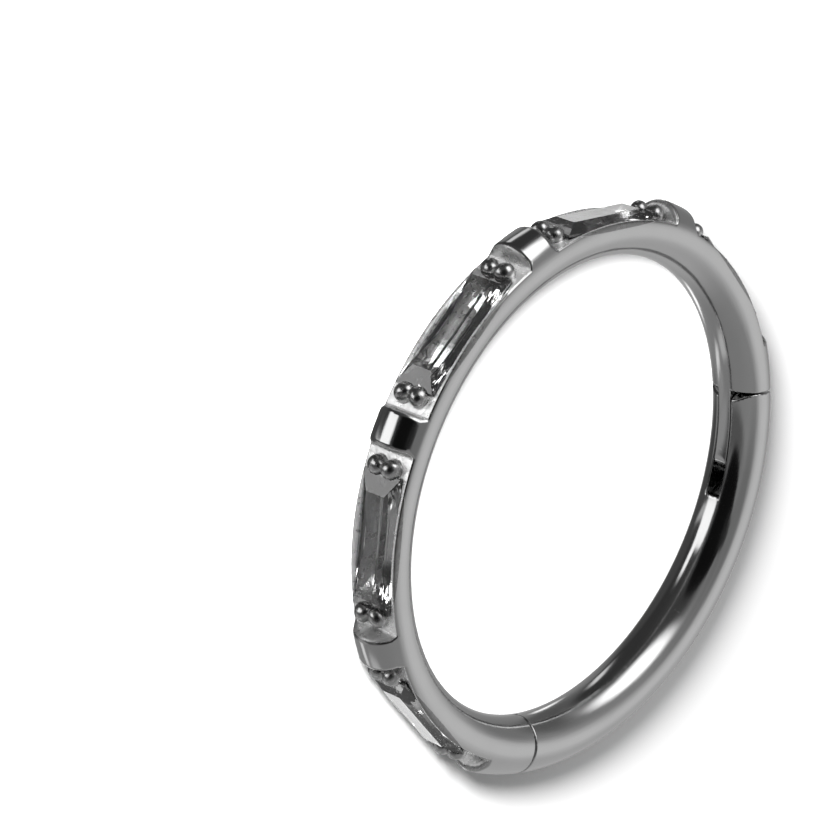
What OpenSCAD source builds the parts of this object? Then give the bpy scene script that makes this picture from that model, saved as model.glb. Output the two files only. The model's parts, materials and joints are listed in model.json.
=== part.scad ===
// Hinged segment clicker: a round bar bent to a ring, a hinged segment that swings
// out to open it, and five clear step-cut baguettes set in pockets round the frame.
// The ring lies on z = 0 with its centre on the Z axis. +Y is the middle of the segment.
// Directions round the ring are degrees from +X, counted towards +Y.

/* [Ring] */
// Radius of the ring at the middle of the bar
ring_r = 5.4; // [5.2:0.1:6]
// Thickness of the round bar, 1.2 is 16 gauge
bar_d = 1.2; // [1.15:0.05:1.3]

/* [Segment] */
// Direction of the seam where the segment snaps shut
clasp_at = 33.25; // [30:0.25:36]
// Direction of the shoulder that the segment's ears meet at the hinge
hinge_at = 146.75; // [144:0.25:149]
// Lean of the shoulder, its outer end nearer the segment
shoulder_lean = 15; // [10:1:18]
// Gap between the segment and the frame at both seams
seam_gap = 0.03; // [0.02:0.01:0.05]
// Radius that rounds the ears' outer corners, so that they pass the shoulder
ear_outer_r = 0.6; // [0.55:0.01:0.62]
// Distance of that rounding's middle from the shoulder, along the bar
ear_outer_back = 0.62; // [0.6:0.01:0.66]
// Radius that rounds the ears' inner corners
ear_inner_r = 0.5; // [0.3:0.01:0.55]

/* [Hinge] */
// Thickness of the frame's tongue
tongue_t = 0.3; // [0.24:0.01:0.34]
// Space between the tongue and each ear
tongue_gap = 0.02; // [0.015:0.005:0.04]
// How far the tongue runs past the pin
tongue_past_pin = 0.42; // [0.36:0.01:0.44]
// Radius of the tongue's corners, seen from above
tongue_corner_r = 0.3; // [0.2:0.01:0.36]
// Thickness of the hinge pin
pin_d = 0.4; // [0.3:0.02:0.44]
// Distance of the pin from the shoulder, in degrees round the ring
pin_step = 14.5; // [14:0.1:15.5]
// Length of the pin above the middle of the bar, inside the upper ear
pin_up = 0.45; // [0.35:0.01:0.48]
// Running space round the pin in the tongue
pin_run = 0.02; // [0.01:0.01:0.05]
// Space round the pin in the ears that hold it
pin_fit = 0.01; // [0.01:0.01:0.02]

/* [Latch] */
// Radius of the round nose on the segment's free end
nose_r = 0.37; // [0.3:0.01:0.38]
// Height of the nose's middle above the segment's end face
nose_out = 0.05; // [0:0.01:0.08]
// How far the nose sits towards the inside of the ring
nose_in = 0.05; // [0.03:0.01:0.07]
// Space round the nose in its socket
nose_gap = 0.03; // [0.02:0.01:0.04]

/* [Stone row] */
// Direction of the first stone, next to the hinge
first_stone = 179.1; // [178.5:0.1:180]
// Step from one stone to the next
stone_step = 44.7; // [44:0.1:45]
// Width of the full-round blocks between the stones, in degrees
block_w = 7.6; // [6:0.1:8]
// Where the first pocket begins
first_pocket = 157.5; // [156.5:0.25:159]
// Where the last pocket ends
last_pocket = 379.75; // [379:0.25:382]
// Distance of the pocket floor from the ring's axis
floor_r = 5.59; // [5.56:0.01:5.62]
// Distance of the stones' flat seats from the ring's axis
seat_r = 5.47; // [5.44:0.01:5.5]

/* [Stones] */
// Length of a stone
stone_l = 2.72; // [2.4:0.02:2.8]
// Width of a stone, across the bar
stone_w = 0.94; // [0.84:0.02:0.98]
// How much longer the steps are at a stone's ends than along its sides
end_stretch = 1.6; // [1.2:0.1:1.8]
// Space between a stone and the metal
stone_gap = 0.015; // [0.01:0.005:0.02]
// Radius of the bead prongs, two at each end of a stone
bead_r = 0.2; // [0.18:0.01:0.21]
// Distance of the beads from the middle of the stone
bead_y = 1.47; // [1.42:0.01:1.5]
// Distance of the beads from the middle of the bar
bead_z = 0.185; // [0.17:0.005:0.2]

/* [Hidden] */
STONES = 5;
$fn = 96;

// Steps of the cut: height above the seat, and how far in from the girdle
HEIGHT = 0;
INSET = 1;
steps = [
    [-0.33, 0.41], [-0.26, 0.27], [-0.15, 0.12], [0.01, 0],
    [0.05, 0], [0.13, 0.11], [0.20, 0.24]
];
girdle = 0.03;

bar_r = bar_d / 2;
reach = bar_d * 2; // longer than any cut through the bar needs
pin_r = pin_d / 2;
pin_at = hinge_at - pin_step;
slot_w = tongue_t + 2 * tongue_gap;
slot_r = bar_r + 0.07;
slot_end = 1.006; // how far past the pin the slot's inner side reaches
tongue_side = bar_r + 0.015;
socket_r = nose_r + nose_gap;
seam_step = asin(seam_gap / ring_r);
leave_turn = 49.3; // the nose leaves its socket this far round from straight outwards

function stone_at(i) = first_stone + (i - 1) * stone_step;
function pocket_from(i) = i == 1 ? first_pocket : stone_at(i) - (stone_step - block_w) / 2;
function pocket_to(i) = i == STONES ? last_pocket : stone_at(i) + (stone_step - block_w) / 2;

// Outline of a stone's steps: X is height, Y the half width on either side
function cut_outline(half, stretch, grow) =
    let (side = [for (s = steps)
        [s[HEIGHT] + sign(s[HEIGHT] - girdle) * grow, half - s[INSET] * stretch + grow]])
    concat(side, [for (i = [len(side) - 1:-1:0]) [side[i][0], -side[i][1]]]);

// Puts its children on the middle of the bar: X points outwards, Y runs along the bar
module at(angle) {
    rotate([0, 0, angle])
        translate([ring_r, 0, bar_r])
            children();
}

// The same at the hinge's shoulder, with X along its leaning face
module at_shoulder() {
    at(hinge_at)
        rotate([0, 0, -shoulder_lean])
            children();
}

// The round bar between two directions
module bar(from, to) {
    translate([0, 0, bar_r])
        rotate([0, 0, from])
            rotate_extrude(angle = to - from)
                translate([ring_r, 0])
                    circle(r = bar_r);
}

// Cuts the bar down to the pocket's round floor, and a well in it for the stone. The thin rails
// left beside the well follow the bend of the ring.
module pocket(i) {
    rotate([0, 0, pocket_from(i)])
        rotate_extrude(angle = pocket_to(i) - pocket_from(i))
            translate([floor_r, -bar_r])
                square([bar_d, 2 * bar_d]);
    at(stone_at(i))
        translate([seat_r - ring_r, -stone_l / 2 - stone_gap, -stone_w / 2 - stone_gap])
            cube([bar_d, stone_l + 2 * stone_gap, stone_w + 2 * stone_gap]);
}

// A baguette's two step outlines, crossed so that its corners are mitred
module baguette(i, grow) {
    at(stone_at(i))
        translate([seat_r - ring_r, 0, 0])
            intersection() {
                linear_extrude(height = bar_d, center = true)
                    polygon(cut_outline(stone_l / 2, end_stretch, grow));
                rotate([90, 0, 0])
                    linear_extrude(height = 2 * stone_l, center = true)
                        polygon(cut_outline(stone_w / 2, 1, grow));
            }
}

module beads(i) {
    at(stone_at(i))
        for (end = [-1, 1], side = [-1, 1])
            translate([seat_r - ring_r, end * bead_y, side * bead_z])
                sphere(r = bead_r);
}

// Room that the tongue keeps round the pin: rounded in plan and across its thickness
module tongue_tip() {
    intersection() {
        linear_extrude(height = tongue_t, center = true)
            union() {
                translate([-tongue_side, tongue_corner_r - tongue_past_pin])
                    square([2 * tongue_side, reach]);
                translate([tongue_corner_r - tongue_side, -tongue_past_pin])
                    square([2 * (tongue_side - tongue_corner_r), reach]);
                for (side = [-1, 1])
                    translate([side * (tongue_side - tongue_corner_r), tongue_corner_r - tongue_past_pin])
                        circle(r = tongue_corner_r);
            }
        union() {
            translate([0, tongue_t / 2 - tongue_past_pin, 0])
                rotate([0, 90, 0])
                    cylinder(r = tongue_t / 2, h = 2 * reach, center = true);
            translate([-reach, tongue_t / 2 - tongue_past_pin, -tongue_t])
                cube([2 * reach, reach, 2 * tongue_t]);
        }
    }
}

// What is cut off the bar beyond the pin to leave the tongue's rounded tip
module tongue_waste() {
    at(pin_at)
        difference() {
            translate([-reach, -reach, -bar_d])
                cube([2 * reach, reach, 2 * bar_d]);
            tongue_tip();
        }
}

// The metal above and below the tongue, on the segment's side of the shoulder
module cheeks() {
    for (side = [0, 1])
        at_shoulder()
            mirror([0, 0, side])
                translate([-reach, -reach, tongue_t / 2])
                    cube([2 * reach, reach, bar_d]);
}

// The hollow that takes the nose, open along the way that the nose swings out
module socket() {
    at(clasp_at)
        translate([-nose_in, seam_gap - nose_out, 0]) {
            sphere(r = socket_r);
            rotate([0, 0, leave_turn])
                rotate([0, 90, 0])
                    cylinder(r = socket_r, h = reach);
        }
}

module frame() {
    color([0.72, 0.72, 0.74])
        difference() {
            union() {
                difference() {
                    bar(pin_at - pin_step / 2, clasp_at + 360);
                    for (i = [1:STONES])
                        pocket(i);
                    cheeks();
                    tongue_waste();
                    socket();
                    at(pin_at)
                        cylinder(r = pin_r + pin_run, h = bar_d, center = true);
                }
                for (i = [1:STONES])
                    beads(i);
            }
            for (i = [1:STONES])
                baguette(i, stone_gap);
        }
}

// The slot between the ears, seen from above: Y points to the shoulder
module slot_plan() {
    circle(r = slot_r);
    translate([-bar_d, 0])
        square([2 * bar_d, reach]);
    polygon([[0, 0], [0, -slot_r], [-bar_r, -slot_end], [-bar_d, -slot_end], [-bar_d, 0]]);
}

// What is cut off each ear's outer corner to round it
module outer_corner() {
    at(hinge_at - ear_outer_back / ring_r * 180 / PI)
        difference() {
            translate([0, 0, -bar_d])
                cube([bar_d, bar_d, 2 * bar_d]);
            cylinder(r = ear_outer_r, h = 3 * bar_d, center = true);
        }
}

// What is cut off each ear's inner corner to round it
module inner_corner() {
    at_shoulder()
        translate([ear_inner_r - bar_r - seam_gap, -seam_gap - ear_inner_r, 0])
            difference() {
                translate([-bar_d, 0, -bar_d])
                    cube([bar_d, bar_d, 2 * bar_d]);
                cylinder(r = ear_inner_r, h = 3 * bar_d, center = true);
            }
}

module segment() {
    color([0.72, 0.72, 0.74])
        difference() {
            union() {
                bar(clasp_at + seam_step, hinge_at + 4);
                at(clasp_at)
                    translate([-nose_in, seam_gap - nose_out, 0])
                        sphere(r = nose_r);
            }
            at_shoulder()
                translate([-reach, -seam_gap, -bar_d])
                    cube([2 * reach, reach, 2 * bar_d]);
            outer_corner();
            inner_corner();
            at(pin_at) {
                linear_extrude(height = slot_w, center = true)
                    slot_plan();
                translate([0, 0, -bar_d])
                    cylinder(r = pin_r + pin_fit, h = bar_d + pin_up + tongue_gap);
            }
        }
}

// The pin's lower end is dressed flush with the ear, its upper end is hidden
module hinge_pin() {
    color([0.66, 0.66, 0.68])
        intersection() {
            bar(pin_at - pin_step, pin_at + pin_step);
            at(pin_at)
                translate([0, 0, -bar_d])
                    cylinder(r = pin_r, h = bar_d + pin_up);
        }
}

module stone(i) {
    color([0.86, 0.9, 0.95])
        baguette(i, 0);
}

frame();
segment();
hinge_pin();
for (i = [1:STONES])
    stone(i);
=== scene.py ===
import json
import math

import bmesh
import bpy
import numpy as np
from mathutils import Matrix, Vector


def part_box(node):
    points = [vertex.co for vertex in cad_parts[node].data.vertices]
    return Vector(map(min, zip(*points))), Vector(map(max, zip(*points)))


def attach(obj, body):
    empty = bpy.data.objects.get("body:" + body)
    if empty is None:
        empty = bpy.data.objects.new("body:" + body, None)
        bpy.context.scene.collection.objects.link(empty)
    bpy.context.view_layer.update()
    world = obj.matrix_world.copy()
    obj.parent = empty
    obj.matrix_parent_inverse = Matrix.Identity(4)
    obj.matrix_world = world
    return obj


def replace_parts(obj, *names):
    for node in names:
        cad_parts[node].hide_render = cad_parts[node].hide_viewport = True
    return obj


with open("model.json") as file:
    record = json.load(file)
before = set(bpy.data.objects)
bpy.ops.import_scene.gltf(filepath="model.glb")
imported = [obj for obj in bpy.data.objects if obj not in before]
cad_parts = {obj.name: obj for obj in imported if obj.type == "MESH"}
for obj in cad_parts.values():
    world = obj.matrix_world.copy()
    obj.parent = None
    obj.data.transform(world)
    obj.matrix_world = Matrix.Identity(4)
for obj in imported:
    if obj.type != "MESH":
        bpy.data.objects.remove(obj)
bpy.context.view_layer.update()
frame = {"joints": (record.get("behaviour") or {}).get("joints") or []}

# Camera: a long lens that looks down on the ring from the side of the stones. It is rolled far
# over, so that the ring, which lies flat on the floor, stands up in the picture.
MM = 0.001
lens_focal = 141.4
sensor_width = 36
aim_at = Vector((1.545, -5.197, 0.6)) * MM
aim_distance = 60.228 * MM
camera_azimuth = math.radians(-70.63)
camera_elevation = math.radians(39.74)
camera_roll = math.radians(-111.06)


def towards(azimuth, elevation):
    """Direction in which something in the studio stands from the ring."""
    return Vector((
        math.cos(elevation) * math.cos(azimuth),
        math.cos(elevation) * math.sin(azimuth),
        math.sin(elevation),
    ))


def put_in_scene(name, data):
    """A new object with this data, linked to the scene."""
    made = bpy.data.objects.new(name, data)
    bpy.context.scene.collection.objects.link(made)
    return made


camera_back = towards(camera_azimuth, camera_elevation)
level_right = Vector((0, 0, 1)).cross(camera_back).normalized()
level_up = camera_back.cross(level_right)
picture_up = level_up * math.cos(camera_roll) + level_right * math.sin(camera_roll)
picture_right = picture_up.cross(camera_back)
camera_lens = bpy.data.cameras.new("camera")
camera_lens.lens = lens_focal
camera_lens.sensor_width = sensor_width
camera_lens.clip_start = MM
camera_lens.clip_end = 10
camera = put_in_scene("camera", camera_lens)
camera.matrix_world = Matrix.Translation(aim_at + camera_back * aim_distance) @ Matrix(
    (picture_right, picture_up, camera_back)
).transposed().to_4x4()
bpy.context.scene.camera = camera
bpy.context.scene.view_settings.view_transform = "Standard"

# Frame: a round bar of surgical steel bent to most of a ring. Five pockets are milled round its
# outside, twenty beads are raised in them as prongs, and the ends are cut for the hinge and the
# clasp. Its surface is found from the distance to each cut, so every edge is truly rounded.
segment_low, segment_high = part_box("segment")
bar_r = (segment_high.z - segment_low.z) / 2 / MM
ring_r = segment_high.y / MM - bar_r
hinge_pin_at = Vector(frame["joints"][0]["pos_m"]) / MM
clasp_at = math.radians(33.25)
pin_at = math.atan2(hinge_pin_at.y, hinge_pin_at.x)
hinge_at = pin_at + math.radians(14.5)
shoulder_lean = math.radians(15)
frame_end = clasp_at + 2 * math.pi
tongue_thick = 0.3
tongue_past_pin = 0.42
tongue_corner = 0.3
tongue_side = bar_r + 0.015
pin_r = 0.2
pin_run = 0.02
nose_r = 0.37
nose_out = 0.05
nose_in = 0.05
nose_gap = 0.03
seam_gap = 0.03
leave_turn = math.radians(49.3)
leave_way = 2
first_stone = math.radians(179.1)
stone_step = math.radians(44.7)
stone_turns = [first_stone + stone_step * i for i in range(5)]
block_turns = [turn + stone_step / 2 for turn in stone_turns[:-1]]
block_half = math.radians(7.6 / 2)
first_pocket = math.radians(157.5)
last_pocket = math.radians(379.75)
floor_r = 5.59
seat_r = 5.47
stone_gap = 0.015
bead_r = 0.2
bead_along = 1.47
bead_up = 0.185
bead_foot = 0.04
bead_dent = 0.016
block_edge = 0.12
floor_edge = 0.03
edge_grows_over = 0.12
cut_edge = 0.02
rim_edge = 0.022
stone_half = {"long": 1.36, "wide": 0.47}
end_stretch = 1.6
girdle_rise = 0.01
# height above the seat, how far in from the girdle
cut_steps = [
    (-0.33, 0.41), (-0.26, 0.27), (-0.15, 0.12), (girdle_rise, 0),
    (0.05, 0), (0.13, 0.11), (0.20, 0.24),
]


def both(a, b, edge):
    """Distance to what two solids share, with their common edge rounded."""
    return np.minimum(np.maximum(a, b), -edge) + np.hypot(
        np.maximum(a + edge, 0), np.maximum(b + edge, 0)
    )


def either(a, b, fillet):
    """Distance to two solids fused into one, with a fillet where they meet."""
    return np.maximum(np.minimum(a, b), fillet) - np.hypot(
        np.maximum(fillet - a, 0), np.maximum(fillet - b, 0)
    )


def seen_from(at, turn, radius, height, far_turn=1.5):
    """Place of a point from the middle of the bar: outwards, along the bar and up."""
    away = np.clip(turn - at, -far_turn, far_turn)
    return radius * np.cos(away) - ring_r, radius * np.sin(away), height - bar_r


def leaning(out, along):
    """The same place from the hinge's shoulder, which leans."""
    cos, sin = math.cos(shoulder_lean), math.sin(shoulder_lean)
    return out * cos - along * sin, out * sin + along * cos


def bar(turn, radius, height):
    """Distance to the round bar."""
    return np.hypot(radius - ring_r, height - bar_r) - bar_r


def step_wall(height, side, half, stretch):
    """Distance to the stepped outline of a stone, in one of its two cross-sections."""
    points = [(h, half - inset * stretch) for h, inset in cut_steps]
    wall = np.maximum(points[0][0] - height, height - points[-1][0])
    for (h0, s0), (h1, s1) in zip(points, points[1:]):
        length = math.hypot(h1 - h0, s1 - s0)
        wall = np.maximum(wall, ((side - s0) * (h1 - h0) - (height - h0) * (s1 - s0)) / length)
    return wall


def bead(stone, along, rise, up, waves=(9, 11), shifts=(5, 3)):
    """Distance to the nearest of a stone's four beads, which hand work has left uneven."""
    ball = np.sqrt(rise**2 + (np.abs(along) - bead_along) ** 2 + (np.abs(up) - bead_up) ** 2)
    dents = np.sin(waves[0] * along + shifts[0] * stone) * np.sin(waves[1] * up + shifts[1] * stone)
    return ball - bead_r + bead_dent * dents


def tongue(turn, radius, height):
    """Distance to the flat tongue that the pin goes through, with its end rounded both ways."""
    out, along, up = seen_from(pin_at, turn, radius, height)
    square = tongue_side - tongue_corner
    past = -along - tongue_past_pin + tongue_corner
    across = np.abs(out) - square - np.maximum(along, 0)
    plan = np.hypot(np.maximum(across, 0), np.maximum(past, 0)) - tongue_corner
    plan = plan + np.minimum(np.maximum(across, past), 0)
    beyond = np.maximum(-along - tongue_past_pin + tongue_thick / 2, 0)
    slab = np.hypot(up, beyond) - tongue_thick / 2
    return both(plan, slab, cut_edge)


def frame_metal(turn, radius, height):
    """Distance to the frame: the pockets, the wells and beads of the stones, hinge and clasp."""
    walls = (turn - first_pocket) * radius
    for block in block_turns:
        walls = np.minimum(walls, (np.abs(turn - block) - block_half) * radius)
    walls = np.minimum(walls, (last_pocket - turn) * radius)
    above_floor = np.clip((radius - floor_r) / edge_grows_over, 0, 1)
    edge = floor_edge + (block_edge - floor_edge) * above_floor
    metal = both(bar(turn, radius, height), either(radius - floor_r, walls, floor_edge), edge)
    for stone in stone_turns:
        out, along, up = seen_from(stone, turn, radius, height)
        rise = out + ring_r - seat_r
        well = np.maximum(
            np.abs(along) - stone_half["long"] - stone_gap, np.abs(up) - stone_half["wide"] - stone_gap
        )
        metal = both(metal, -np.maximum(well, -rise), cut_edge)
        metal = either(metal, bead(stone, along, rise, up), bead_foot)
        recess = np.maximum(
            step_wall(rise, np.abs(along), stone_half["long"], end_stretch),
            step_wall(rise, np.abs(up), stone_half["wide"], 1),
        )
        metal = both(metal, stone_gap - recess, cut_edge / 2)
    out, along, up = seen_from(hinge_at, turn, radius, height)
    shoulder = -leaning(out, along)[1]
    metal = both(metal, either(shoulder, tongue(turn, radius, height), cut_edge), rim_edge)
    out, along, up = seen_from(pin_at, turn, radius, height)
    metal = both(metal, pin_r + pin_run - np.hypot(out, along), cut_edge / 2)
    metal = both(metal, (turn - frame_end) * radius, rim_edge)
    out, along, up = seen_from(frame_end, turn, radius, height)
    out, along = out + nose_in, along - seam_gap + nose_out
    way = np.clip(out * math.cos(leave_turn) + along * math.sin(leave_turn), 0, leave_way)
    hollow = np.sqrt(
        (out - way * math.cos(leave_turn)) ** 2 + (along - way * math.sin(leave_turn)) ** 2 + up**2
    )
    return both(metal, nose_r + nose_gap - hollow, cut_edge)


def slope(solid, place, reach=1e-4):
    """How the distance changes along the bar, outwards and up."""
    turn, radius, height = place
    step = reach / radius
    return np.array([
        solid(turn + step, radius, height) - solid(turn - step, radius, height),
        solid(turn, radius + reach, height) - solid(turn, radius - reach, height),
        solid(turn, radius, height + reach) - solid(turn, radius, height - reach),
    ]) / (2 * reach)


def crossings_of(grid, depth):
    """The grid's edges that cross the surface, with the places where they do."""
    for axis in range(3):
        first, second = [slice(None)] * 3, [slice(None)] * 3
        first[axis], second[axis] = slice(None, -1), slice(1, None)
        near, far = depth[tuple(first)], depth[tuple(second)]
        crossed = (near < 0) != (far < 0)
        share = np.where(crossed, near / np.where(crossed, near - far, 1), 0)
        start = grid[(slice(None), *first)]
        place = (start + share * (grid[(slice(None), *second)] - start)) * crossed
        yield [k for k in range(3) if k != axis], crossed, place


def settled(solid, place, rounds=5, longest_move=0.03, least_slope=0.2):
    """The places moved onto the surface where the solid's distance is zero."""
    for _ in range(rounds):
        grade = slope(solid, place)
        move = solid(*place) / np.maximum((grade**2).sum(0), least_slope)
        move = np.clip(move, -longest_move, longest_move)
        place = place - move * grade / np.array([place[1], np.ones(len(move)), np.ones(len(move))])
    return place


def skin(name, solid, turns, radii, heights):
    """One closed skin of small quads where the solid's distance is zero, with exact normals."""
    grid = np.stack(np.meshgrid(turns, radii, heights, indexing="ij"))
    depth = solid(*grid)
    total = np.zeros((3,) + tuple(n - 1 for n in depth.shape))
    count = np.zeros(total.shape[1:])
    crossings = []
    for others, crossed, place in crossings_of(grid, depth):
        for one in (slice(None, -1), slice(1, None)):
            for two in (slice(None, -1), slice(1, None)):
                cell = [slice(None)] * 3
                cell[others[0]], cell[others[1]] = one, two
                total += place[(slice(None), *cell)]
                count += crossed[tuple(cell)]
        crossings.append((others, np.argwhere(crossed)))
    used = count > 0
    number = np.full(count.shape, -1)
    number[used] = np.arange(used.sum())
    place = settled(solid, total[:, used] / count[used])
    grade = slope(solid, place)
    turn, radius, height = place
    cos, sin = np.cos(turn), np.sin(turn)
    points = np.stack([radius * cos, radius * sin, height], 1) * MM
    normals = np.stack([
        grade[1] * cos - grade[0] * sin, grade[1] * sin + grade[0] * cos, grade[2]
    ], 1)
    normals /= np.linalg.norm(normals, axis=1, keepdims=True)
    quads = []
    for others, edges in crossings:
        corners = []
        for one, two in ((-1, -1), (0, -1), (0, 0), (-1, 0)):
            cell = edges.copy()
            cell[:, others[0]] += one
            cell[:, others[1]] += two
            corners.append(number[tuple(cell.T)])
        quads.append(np.stack(corners, 1))
    quads = np.concatenate(quads)
    ends = points[quads]
    facing = np.cross(ends[:, 2] - ends[:, 0], ends[:, 3] - ends[:, 1])
    wrong = (facing * normals[quads].sum(1)).sum(1) < 0
    quads[wrong] = quads[wrong][:, ::-1]
    mesh = bpy.data.meshes.new(name)
    mesh.from_pydata(points.tolist(), [], quads.tolist())
    mesh.validate()
    mesh.shade_smooth()
    mesh.normals_split_custom_set_from_vertices(normals.tolist())
    return put_in_scene(name, mesh)


fine_step = 0.032
coarse_step = 0.09
grid_margin = 2.5 * fine_step
bar_radii = np.arange(ring_r - bar_r - grid_margin, ring_r + bar_r + grid_margin, fine_step)
bar_heights = np.arange(-grid_margin, 2 * bar_r + grid_margin, fine_step)


def paces(start, end, busy, spread):
    """Turns from start to end, close together within spread of each busy turn."""
    turns = [start]
    while turns[-1] < end:
        near = min(abs(turns[-1] - turn) for turn in busy) - spread
        turns.append(turns[-1] + np.clip(near, fine_step / ring_r, coarse_step / ring_r))
    return np.array(turns)


tongue_reach = 0.11
frame_margin = 0.02
frame_spread = 0.04
frame_busy = [pin_at, hinge_at, first_pocket, last_pocket, frame_end]
frame_busy += [block + side * block_half for block in block_turns for side in (-1, 1)]
frame_busy += [stone + side * bead_along / seat_r for stone in stone_turns for side in (-1, 1)]
frame_turns = paces(pin_at - tongue_reach, frame_end + frame_margin, frame_busy, frame_spread)
frame_piece = skin("frame_metal", frame_metal, frame_turns, bar_radii, bar_heights)


def link(tree, value, socket):
    """Sets a socket to a plain number, or links it to another socket."""
    if isinstance(value, bpy.types.NodeSocket):
        tree.links.new(value, socket)
    else:
        socket.default_value = value


def reckon(tree, operation, *inputs):
    """One sum in a node tree, of sockets and plain numbers."""
    node = tree.nodes.new("ShaderNodeMath")
    node.operation = operation
    for socket, value in zip(node.inputs, inputs):
        link(tree, value, socket)
    return node.outputs[0]


def product(tree, *values):
    """All the values multiplied together."""
    result = values[0]
    for value in values[1:]:
        result = reckon(tree, "MULTIPLY", result, value)
    return result


def added(tree, *values):
    """All the values added up."""
    result = values[0]
    for value in values[1:]:
        result = reckon(tree, "ADD", result, value)
    return result


def distance(tree, *sides):
    """How far away something is, from how far it is off in each direction."""
    return reckon(tree, "SQRT", added(tree, *[product(tree, side, side) for side in sides]))


def ramp(tree, value, low, high):
    """0 at low, 1 at high, kept there beyond them and smooth between."""
    node = tree.nodes.new("ShaderNodeMapRange")
    node.interpolation_type = "SMOOTHSTEP"
    link(tree, value, node.inputs["Value"])
    link(tree, low, node.inputs["From Min"])
    link(tree, high, node.inputs["From Max"])
    return node.outputs["Result"]


def without(tree, mask, share):
    """1, less this share where the mask is 1."""
    return reckon(tree, "MULTIPLY_ADD", mask, -share, 1)


def uneven(tree, noise, amount):
    """About 1, a little more or less with the noise."""
    return reckon(tree, "MULTIPLY_ADD", noise, amount, 1 - amount / 2)


def speckle(tree, place, scale, detail):
    """Noise from about 0 to 1 over a surface."""
    noise = tree.nodes.new("ShaderNodeTexNoise")
    noise.inputs["Scale"].default_value = scale
    noise.inputs["Detail"].default_value = detail
    tree.links.new(place, noise.inputs["Vector"])
    return noise.outputs["Fac"]


def place_on(tree):
    """The place on the object, in its own metres."""
    return tree.nodes.new("ShaderNodeTexCoord").outputs["Object"]


def node_group(name, inputs, outputs):
    """A node group with number sockets of these names, and the sockets inside it."""
    group = bpy.data.node_groups.new(name, "ShaderNodeTree")
    for socket, value in inputs.items():
        made = group.interface.new_socket(socket, in_out="INPUT", socket_type="NodeSocketFloat")
        made.default_value = value
    for socket in outputs:
        group.interface.new_socket(socket, in_out="OUTPUT", socket_type="NodeSocketFloat")
    return group, group.nodes.new("NodeGroupInput").outputs, group.nodes.new("NodeGroupOutput").inputs


# The finish of all the steel, worked out from the place on the ring in millimetres: fine streaks
# of polish along the bar, and matt cut floors, walls and rails inside the pockets. The pocket walls,
# the rails and the wells under the stones also get painted shade: their grey is made darker.
streak_pace = 1.2
streak_scale = 2.5
streak_detail = 4
streak_high = 5e-6
smear_scale = 900
smear_detail = 3
smear_rough = 0.8
smear_grey = 0.12
pit_scale = 9000
pit_detail = 4
pit_rough = 0.35
pit_grey = 0.36
pit_deep = 1.2e-5
milled_matt = 0.05
bead_dull = 0.7
# painted shade: how much darker the pocket walls, the rails and the wells under the stones are made
wall_painted_shade = 0.5
rail_painted_shade = 0.45
well_painted_shade = 0.8
# where each mask starts and where it is full
pocket_fade = 0.02
bead_skin = (bead_r + 0.025, bead_r + 0.01)
milled_depth = (0.012, 0.03)
wall_radius = (floor_r + 0.02, floor_r + 0.07)
rail_rise = (0, 0.012)
rail_side = (0.3, 0.34)
rail_end = (stone_half["long"] + 0.03, stone_half["long"])
well_top = (0, -0.02)
well_bottom = (-0.45, -0.4)
well_side = (0.48, 0.44)
well_end = (1.39, 1.34)
turn_starts = math.pi / 2

finish, given, found = node_group(
    "steel_finish",
    {"Grey": 0.62, "Roughness": 0.13, "Streaks": 1, "Pocketed": 0},
    ("Grey", "Roughness", "Metallic", "Height"),
)
place = place_on(finish)
axes = finish.nodes.new("ShaderNodeSeparateXYZ")
finish.links.new(place, axes.inputs[0])
x, y, z = (product(finish, axes.outputs[axis], 1 / MM) for axis in "XYZ")
radius = distance(finish, x, y)
out = reckon(finish, "SUBTRACT", radius, ring_r)
up = reckon(finish, "SUBTRACT", z, bar_r)
side = reckon(finish, "ABSOLUTE", up)
bar_depth = reckon(finish, "SUBTRACT", bar_r, distance(finish, out, up))
turn = reckon(
    finish, "WRAP", reckon(finish, "ARCTAN2", y, x), turn_starts + 2 * math.pi, turn_starts
)
from_stone = reckon(
    finish, "WRAP", reckon(finish, "SUBTRACT", turn, first_stone), stone_step / 2, -stone_step / 2
)
along = reckon(finish, "ABSOLUTE", product(finish, radius, reckon(finish, "SINE", from_stone)))
rise = reckon(
    finish, "SUBTRACT", product(finish, radius, reckon(finish, "COSINE", from_stone)), seat_r
)
in_pockets = product(
    finish,
    given["Pocketed"],
    ramp(finish, turn, first_pocket - pocket_fade, first_pocket),
    ramp(finish, turn, last_pocket + pocket_fade, last_pocket),
)
bead_away = distance(
    finish,
    rise,
    reckon(finish, "SUBTRACT", along, bead_along),
    reckon(finish, "SUBTRACT", side, bead_up),
)
beaded = product(finish, in_pockets, ramp(finish, bead_away, *bead_skin))
bare = reckon(finish, "SUBTRACT", in_pockets, beaded)
milled = product(finish, bare, ramp(finish, bar_depth, *milled_depth))
# the end walls of the pockets, painted darker as shade below
shaded_walls = product(finish, milled, ramp(finish, radius, *wall_radius))
# the rails beside each stone: matt, and painted darker as shade below
railed = product(
    finish,
    bare,
    without(finish, milled, 1),
    ramp(finish, rise, *rail_rise),
    ramp(finish, side, *rail_side),
    ramp(finish, along, *rail_end),
)
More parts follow.
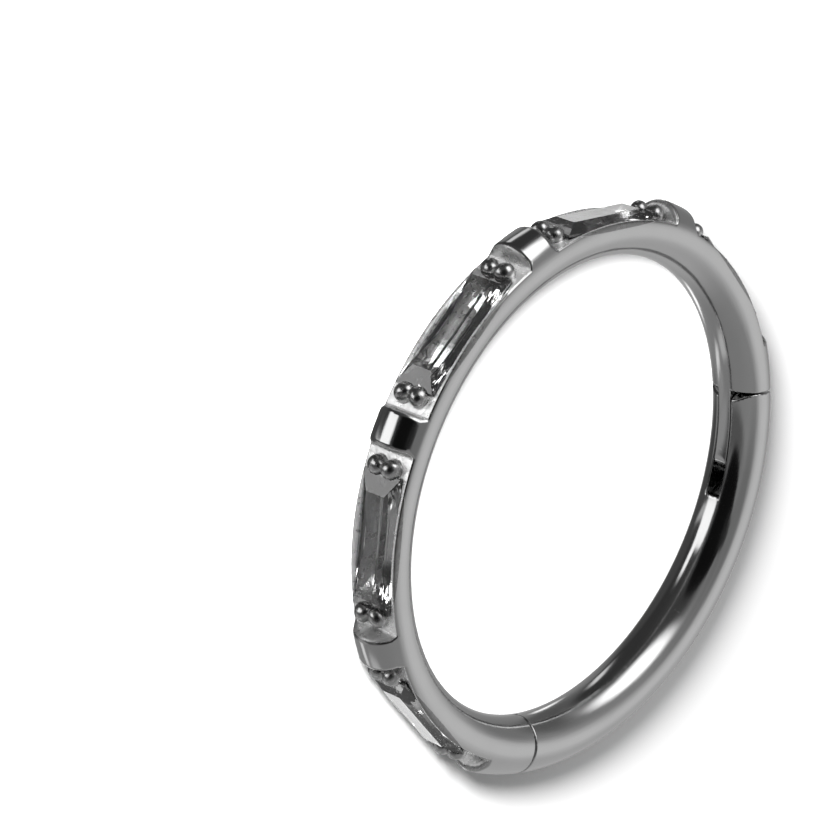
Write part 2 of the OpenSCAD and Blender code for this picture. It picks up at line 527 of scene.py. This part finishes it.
# the well under each stone, painted darker as shade beneath it
shaded_under_stones = product(
    finish,
    bare,
    ramp(finish, rise, *well_top),
    ramp(finish, rise, *well_bottom),
    ramp(finish, side, *well_side),
    ramp(finish, along, *well_end),
)
around_bar = reckon(finish, "ARCTAN2", up, out)
streaked = finish.nodes.new("ShaderNodeCombineXYZ")
finish.links.new(product(finish, turn, streak_pace), streaked.inputs["X"])
finish.links.new(reckon(finish, "COSINE", around_bar), streaked.inputs["Y"])
finish.links.new(reckon(finish, "SINE", around_bar), streaked.inputs["Z"])
streaks = speckle(finish, streaked.outputs[0], streak_scale, streak_detail)
smears = speckle(finish, place, smear_scale, smear_detail)
pits = speckle(finish, place, pit_scale, pit_detail)
dull = added(finish, milled, railed, product(finish, beaded, bead_dull))
rough = product(finish, given["Roughness"], uneven(finish, smears, smear_rough))
finish.links.new(added(finish, rough, product(finish, dull, pits, pit_rough)), found["Roughness"])
grey = product(finish, given["Grey"], uneven(finish, smears, smear_grey))
grey = added(finish, grey, product(finish, milled, pits, pit_grey))
# Painted shade: the pocket walls, the rails and the wells under the stones get a darker grey, standing in
# for the shade in these hollows.
for mask, share in ((shaded_walls, wall_painted_shade), (railed, rail_painted_shade), (shaded_under_stones, well_painted_shade)):
    grey = product(finish, grey, without(finish, mask, share))
finish.links.new(grey, found["Grey"])
finish.links.new(without(finish, milled, milled_matt), found["Metallic"])
height = added(
    finish,
    product(finish, streaks, given["Streaks"], streak_high),
    product(finish, pits, dull, pit_deep),
)
finish.links.new(height, found["Height"])


def bump(tree, shader, height, deep):
    """Lets a height of 1 stand this deep in the shader's surface."""
    node = tree.nodes.new("ShaderNodeBump")
    node.inputs["Distance"].default_value = deep
    tree.links.new(height, node.inputs["Height"])
    tree.links.new(node.outputs["Normal"], shader.inputs["Normal"])


def material(name):
    """A new material, its node tree and its shader."""
    made = bpy.data.materials.new(name)
    made.use_nodes = True
    return made, made.node_tree, made.node_tree.nodes["Principled BSDF"]


def steel(name, **values):
    """A steel with the shared finish, and its own values for it."""
    made, tree, shader = material(name)
    group = tree.nodes.new("ShaderNodeGroup")
    group.node_tree = finish
    for socket, value in values.items():
        group.inputs[socket].default_value = value
    tree.links.new(group.outputs["Grey"], shader.inputs["Base Color"])
    tree.links.new(group.outputs["Roughness"], shader.inputs["Roughness"])
    tree.links.new(group.outputs["Metallic"], shader.inputs["Metallic"])
    bump(tree, shader, group.outputs["Height"], 1)
    return made


frame_piece.data.materials.append(steel("pocketed_steel", Pocketed=1))
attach(frame_piece, "frame")
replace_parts(frame_piece, "frame")

# Segment: the plain length of the same bar that swings out. Its hinge end is slotted into two
# ears, rounded so that they clear the shoulder, and bored for the pin. The other end is turned
# down to a small round nose that snaps into the frame.
slot_half = tongue_thick / 2 + 0.02
slot_r = bar_r + 0.07
slot_end = 1.006
ear_outer_r = 0.6
ear_outer_back = 0.62
ear_inner_r = 0.5
pin_fit = 0.01
pin_top = 0.45
bore_past_pin = 0.02


def segment_metal(turn, radius, height):
    """Distance to the segment: nose, shoulder, rounded ears, slot and bore."""
    metal = both(bar(turn, radius, height), (clasp_at - turn) * radius + seam_gap, rim_edge)
    out, along, up = seen_from(clasp_at, turn, radius, height)
    nose = np.sqrt((out + nose_in) ** 2 + (along - seam_gap + nose_out) ** 2 + up**2) - nose_r
    metal = either(metal, nose, cut_edge)
    out, along, up = seen_from(hinge_at, turn, radius, height)
    lean_out, lean_along = leaning(out, along)
    metal = both(metal, lean_along + seam_gap, rim_edge)
    out, along = lean_out - ear_inner_r + bar_r + seam_gap, lean_along + seam_gap + ear_inner_r
    metal = both(metal, np.minimum(np.minimum(-out, along), np.hypot(out, along) - ear_inner_r), cut_edge)
    out, along, up = seen_from(hinge_at - ear_outer_back / ring_r, turn, radius, height)
    metal = both(metal, np.minimum(np.minimum(out, along), np.hypot(out, along) - ear_outer_r), cut_edge)
    out, along, up = seen_from(pin_at, turn, radius, height)
    drop, run = slot_end - slot_r, bar_r
    slant = (out * drop - (along + slot_r) * run) / math.hypot(drop, run)
    inner = np.maximum(np.maximum(out, -slot_end - along), slant)
    plan = np.minimum(np.minimum(np.hypot(out, along) - slot_r, -along), inner)
    metal = both(metal, -np.maximum(plan, np.abs(up) - slot_half), cut_edge)
    bore = np.maximum(np.hypot(out, along) - pin_r - pin_fit, up - pin_top - bore_past_pin)
    return both(metal, -bore, cut_edge / 2)


segment_margin = 0.09
segment_spread = 0.08
nose_busy = 0.03
slot_busy = 0.12
segment_busy = [
    clasp_at - nose_busy, clasp_at, pin_at - slot_busy, pin_at, pin_at + slot_busy, hinge_at,
]
segment_turns = paces(
    clasp_at - segment_margin, hinge_at + segment_margin, segment_busy, segment_spread
)
segment_piece = skin("segment_metal", segment_metal, segment_turns, bar_radii, bar_heights)
segment_piece.data.materials.append(steel("polished_steel"))
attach(segment_piece, "segment")
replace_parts(segment_piece, "segment")

# Hinge pin: a plain turned pin of the same steel, pressed through the segment's ears and the
# frame's tongue. Its lower end is dressed flush with the bar and its upper end is hidden.
turned_steel = steel("turned_steel", Grey=0.56, Roughness=0.26, Streaks=0.4)
for pin_slot in bpy.data.objects["hinge_pin"].material_slots:
    pin_slot.material = turned_steel

# Stones: five step-cut baguettes of clear cubic zirconia. Each sits in its well with its girdle
# on the seat, and four beads hold it, two at either end. Below the girdle a keel with narrow
# facets rises to both ends, which gives the ribs and sparks seen through the table.
stone_clear = 0.997
stone_bends = 2.15
stone_rough = 0.002
nick_scale = 6000
nick_detail = 3
nick_deep = 7e-7
cz, cz_tree, cz_shader = material("clear_zirconia")
cz_shader.inputs["Base Color"].default_value = (0.97, 0.97, 0.97, 1)
cz_shader.inputs["Transmission Weight"].default_value = stone_clear
cz_shader.inputs["IOR"].default_value = stone_bends
cz_shader.inputs["Roughness"].default_value = stone_rough
bump(cz_tree, cz_shader, speckle(cz_tree, place_on(cz_tree), nick_scale, nick_detail), nick_deep)
keel_deep = 0.34
keel_ribs = 24
keel_end = 0.06
rib_inset = 0.2
rib_deep = 0.6
flat_within = math.radians(0.5)


def stone_corners():
    """The corners of a stone: how far above the seat, along the bar and up."""
    corners = [
        (rise, end * (stone_half["long"] - inset * end_stretch), side * (stone_half["wide"] - inset))
        for rise, inset in cut_steps if rise > 0 for end in (-1, 1) for side in (-1, 1)
    ]
    for rib in range(2 * keel_ribs + 1):
        share = rib / keel_ribs - 1
        deep = keel_deep * math.sqrt(1 - abs(share) ** 3)
        along = share * (stone_half["long"] - keel_end)
        if rib % 2:
            wide = stone_half["wide"] - rib_inset
            corners += [(girdle_rise - deep * rib_deep, along, side * wide) for side in (-1, 1)]
        else:
            corners.append((girdle_rise - deep, along, 0))
    return corners


def cut_stone(name, turn):
    """A baguette with flat facets between its corners, at its turn on the ring."""
    work = bmesh.new()
    for rise, along, up in stone_corners():
        out = seat_r + rise
        work.verts.new((
            out * math.cos(turn) - along * math.sin(turn),
            out * math.sin(turn) + along * math.cos(turn),
            up + bar_r,
        ))
    hull = bmesh.ops.convex_hull(work, input=work.verts[:])
    inner = {part for part in hull["geom_interior"] + hull["geom_unused"] if part in work.verts[:]}
    bmesh.ops.delete(work, geom=list(inner), context="VERTS")
    bmesh.ops.dissolve_limit(work, angle_limit=flat_within, verts=work.verts[:], edges=work.edges[:])
    bmesh.ops.recalc_face_normals(work, faces=work.faces[:])
    bmesh.ops.scale(work, vec=(MM, MM, MM), verts=work.verts[:])
    mesh = bpy.data.meshes.new(name)
    work.to_mesh(mesh)
    work.free()
    mesh.materials.append(cz)
    piece = put_in_scene(name, mesh)
    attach(piece, "frame")
    return piece


for number, stone_turn in enumerate(stone_turns, 1):
    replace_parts(cut_stone("cut_stone_%d" % number, stone_turn), "stone_%d" % number)

# Floor: a wide sheet of white paper that the ring lies on. It glows a little away from the ring,
# where the near lamp no longer reaches, so that the paper stays white to its edges.
floor_half = 0.6
glow_from = 9 * MM
glow_full = 24 * MM
floor_mesh = bpy.data.meshes.new("floor")
floor_mesh.from_pydata(
    [(x * floor_half, y * floor_half, 0) for x, y in ((-1, -1), (1, -1), (1, 1), (-1, 1))],
    [],
    [(0, 1, 2, 3)],
)
floor = put_in_scene("floor", floor_mesh)
paper, paper_tree, paper_shader = material("white_paper")
paper_shader.inputs["Base Color"].default_value = (0.9, 0.9, 0.9, 1)
paper_shader.inputs["Roughness"].default_value = 0.9
paper_shader.inputs["Emission Color"].default_value = (1, 1, 1, 1)
from_middle = paper_tree.nodes.new("ShaderNodeVectorMath")
from_middle.operation = "LENGTH"
paper_tree.links.new(place_on(paper_tree), from_middle.inputs[0])
glow = ramp(paper_tree, from_middle.outputs["Value"], glow_from, glow_full)
paper_tree.links.new(glow, paper_shader.inputs["Emission Strength"])
floor_mesh.materials.append(paper)
floor.visible_glossy = False
floor.visible_transmission = False

# Key lamp: a round soft lamp close to the ring and low, on the side away from the shadow. It
# lights the paper and the matt pockets, and the polished steel mirrors the tent instead of it.
key_azimuth = math.radians(279)
key_elevation = math.radians(27)
key_distance = 28 * MM
key_half_angle = math.radians(12)
key_radiance = 115
key_r = math.tan(key_half_angle) * key_distance
key_lamp = bpy.data.lights.new("key", "AREA")
key_lamp.shape = "DISK"
key_lamp.size = 2 * key_r
key_lamp.energy = key_radiance * math.pi * math.pi * key_r**2
key = put_in_scene("key", key_lamp)
key.location = towards(key_azimuth, key_elevation) * key_distance
key.rotation_euler = key.location.to_track_quat("Z", "Y").to_euler()
key.visible_glossy = False
key.visible_camera = False

# Tent: pale cloth round the whole table, with lighter and darker cards hung inside it. Their
# mirror images are the bands, spots and dark edges of the polished steel. The stones see it with
# more contrast, and the camera sees plain white.
cloth_light = 0.30
stone_gain = 2.4
stone_contrast = 2.4
picture_white = 1.0
# azimuth, elevation, half width, half height, softness, squareness, radiance
tent_cards = [
    (112, 35, 30, 32, 0.8, 2, 0.70),
    (15, -5, 30, 50, 0.5, 3, 0.27),
    (80, 0, 26, 30, 0.6, 2, 0.50),
    (152, 8, 18, 30, 0.6, 2, 0.24),
    (170, -5, 12, 40, 0.5, 3, 0.13),
    (262, -45, 80, 56, 0.15, 5, 0.045),
    (262, 20, 26, 40, 0.5, 3, 0.06),
    (340, 15, 12, 40, 0.5, 3, 0.12),
    (345, -40, 14, 22, 0.4, 3, 0.36),
    (0, 90, 200, 22, 0.4, 6, 0.21),
    (120, -85, 200, 25, 0.3, 6, 0.08),
    (108, -40, 22, 14, 0.7, 2, 0.5),
    (214, 37, 25, 22, 0.4, 2.2, 1.9),
    (298, 37, 37, 30, 0.08, 3, 0.006),
    (298, 66, 14, 12, 0.25, 3, 0.02),
    (304, -52, 5, 22, 0.3, 3, 0.6),
    (290, -36, 22, 8, 0.25, 4, 1.5),
    (297, -19, 13, 15, 0.14, 4, 1.5),
    (318, -22, 7, 18, 0.15, 4, 0.02),
    (22, -12, 7, 12, 0.4, 3, 0.6),
    (9, -42, 10, 12, 0.5, 2, 0.35),
    (198, -40, 6, 9, 0.6, 2, 1.0),
    (27, -41, 6, 9, 0.6, 2, 1.0),
    (156, -40, 5, 6, 0.5, 2, 1.7),
    (71, -40, 6, 7, 0.5, 2, 1.7),
]

card, given, found = node_group(
    "card_in_tent",
    {
        "Azimuth": 0, "Elevation": 0, "Card azimuth": 0, "Card elevation": 0,
        "Half width": 30, "Half height": 30, "Softness": 0.2, "Squareness": 2,
    },
    ("Mask",),
)
sideways = reckon(card, "SUBTRACT", given["Azimuth"], given["Card azimuth"])
sideways = reckon(card, "WRAP", sideways, 180, -180)
upwards = reckon(card, "SUBTRACT", given["Elevation"], given["Card elevation"])
squareness = given["Squareness"]
shares = [
    reckon(card, "POWER", reckon(card, "ABSOLUTE", reckon(card, "DIVIDE", off, given[half])), squareness)
    for off, half in ((sideways, "Half width"), (upwards, "Half height"))
]
from_card = reckon(card, "POWER", added(card, *shares), reckon(card, "DIVIDE", 1, squareness))
outside = ramp(
    card,
    from_card,
    reckon(card, "SUBTRACT", 1, given["Softness"]),
    reckon(card, "ADD", 1, given["Softness"]),
)
card.links.new(without(card, outside, 1), found["Mask"])

world = bpy.data.worlds.new("light_tent")
bpy.context.scene.world = world
world.use_nodes = True
tree = world.node_tree


def mixed(factor, first, second):
    """The first value where the factor is 0 and the second where it is 1."""
    node = tree.nodes.new("ShaderNodeMix")
    link(tree, factor, node.inputs["Factor"])
    link(tree, first, node.inputs["A"])
    link(tree, second, node.inputs["B"])
    return node.outputs["Result"]


axes = tree.nodes.new("ShaderNodeSeparateXYZ")
tree.links.new(tree.nodes.new("ShaderNodeTexCoord").outputs["Generated"], axes.inputs[0])
azimuth = reckon(tree, "DEGREES", reckon(tree, "ARCTAN2", axes.outputs["Y"], axes.outputs["X"]))
elevation = reckon(tree, "DEGREES", reckon(tree, "ARCSINE", axes.outputs["Z"]))
light = cloth_light
for *shape, radiance in tent_cards:
    hung = tree.nodes.new("ShaderNodeGroup")
    hung.node_tree = card
    for socket, value in zip(hung.inputs, (azimuth, elevation, *shape)):
        link(tree, value, socket)
    light = mixed(hung.outputs["Mask"], light, radiance)
rays = tree.nodes.new("ShaderNodeLightPath").outputs
through_stones = product(tree, reckon(tree, "POWER", light, stone_contrast), stone_gain)
light = mixed(rays["Is Transmission Ray"], light, through_stones)
light = mixed(rays["Is Camera Ray"], light, picture_white)
tree.links.new(light, tree.nodes["Background"].inputs["Color"])
